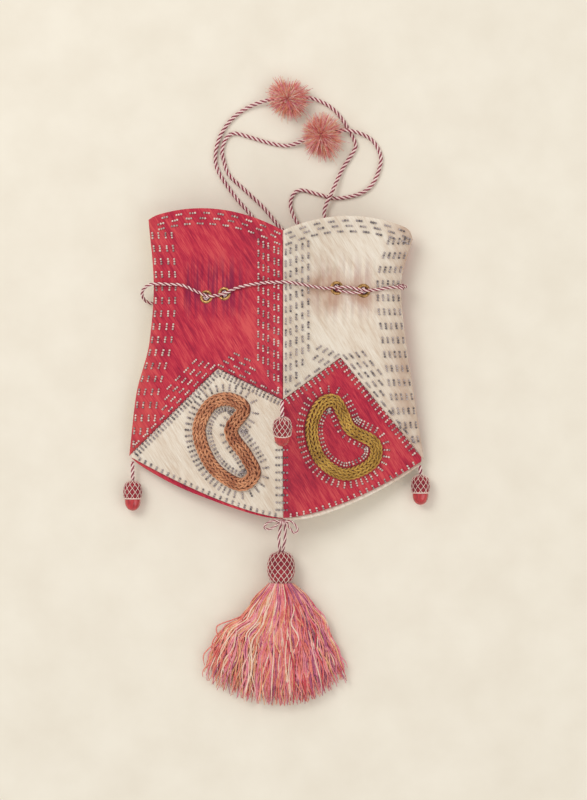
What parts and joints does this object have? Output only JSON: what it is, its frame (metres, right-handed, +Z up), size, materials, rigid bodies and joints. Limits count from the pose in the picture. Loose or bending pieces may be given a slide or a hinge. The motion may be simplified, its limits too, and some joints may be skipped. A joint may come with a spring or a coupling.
{
  "type": "drawstring pouch",
  "caption": "Cloth drawstring pouch lying on its back, with couched cord rings, a waist cord, pull cords with pompons, acorn pendants and a tassel.",
  "frame": {"origin": "on the table, under the middle of the pouch with its pendants, without the pull cords", "axes": "+Z up from the table the pouch lies on, +Y from the bottom point towards the mouth, +X to the right seen from above"},
  "size_m": [0.2006, 0.4081, 0.0722],
  "materials": {
    "red cloth": "brushed wool",
    "white cloth": "brushed wool",
    "brass": "satin",
    "red and white twist": "twisted cord",
    "copper cord": "couched braid",
    "gold cord": "couched braid",
    "coral wool": "loose threads",
    "netted beads": "beads under a thread net",
    "red lacquer": "glossy lacquer"
  },
  "bodies": {
    "pouch": {"wall_front_left": "red cloth", "wall_front_right": "white cloth", "wall_back_left": "white cloth", "wall_back_right": "red cloth", "lozenge_front_left": "white cloth", "lozenge_front_right": "red cloth", "lozenge_back_left": "red cloth", "lozenge_back_right": "white cloth", "bean_front_left": "copper cord", "bean_front_right": "gold cord", "eyelet_front_1": "brass", "eyelet_front_2": "brass", "eyelet_front_3": "brass", "eyelet_front_4": "brass", "eyelet_back_1": "brass", "eyelet_back_2": "brass", "eyelet_back_3": "brass", "eyelet_back_4": "brass", "waist_cord": "red and white twist", "pull_cord_outer": "red and white twist", "pull_cord_inner": "red and white twist", "pompon_outer": "coral wool", "pompon_inner": "coral wool", "acorn_cord_back": "red and white twist", "acorn_cap_back": "netted beads", "acorn_nut_back": "red lacquer", "tassel_knot": "red and white twist", "tassel_bow_left": "red and white twist", "tassel_bow_right": "red and white twist"},
    "acorn_left": {"acorn_cord_left": "red and white twist", "acorn_cap_left": "netted beads", "acorn_nut_left": "red lacquer"},
    "acorn_right": {"acorn_cord_right": "red and white twist", "acorn_cap_right": "netted beads", "acorn_nut_right": "red lacquer"},
    "acorn_front": {"acorn_cord_front": "red and white twist", "acorn_cap_front": "netted beads", "acorn_nut_front": "red lacquer"},
    "tassel": {"tassel_cord_left": "red and white twist", "tassel_cord_right": "red and white twist", "tassel_head": "netted beads", "tassel_skirt": "coral wool"}
  },
  "joints": [
    {"name": "acorn_left_swing", "type": "hinge", "parent": "pouch", "child": "acorn_left", "pos_m": [-0.0946, -0.0034, 0.0063], "axis": [0, 0, 1], "range_deg": [-40, 25]},
    {"name": "acorn_right_swing", "type": "hinge", "parent": "pouch", "child": "acorn_right", "pos_m": [0.0936, -0.006, 0.0063], "axis": [0, 0, 1], "range_deg": [-15, 40]},
    {"name": "acorn_front_swing", "type": "hinge", "parent": "pouch", "child": "acorn_front", "pos_m": [0.0034, 0.035, 0.0656], "axis": [0, -0.3321, 0.9432], "range_deg": [-35, 35]},
    {"name": "tassel_swing", "type": "hinge", "parent": "pouch", "child": "tassel", "pos_m": [0.0038, -0.0431, 0.021], "axis": [0, 0, 1], "range_deg": [-25, 25]}
  ]
}
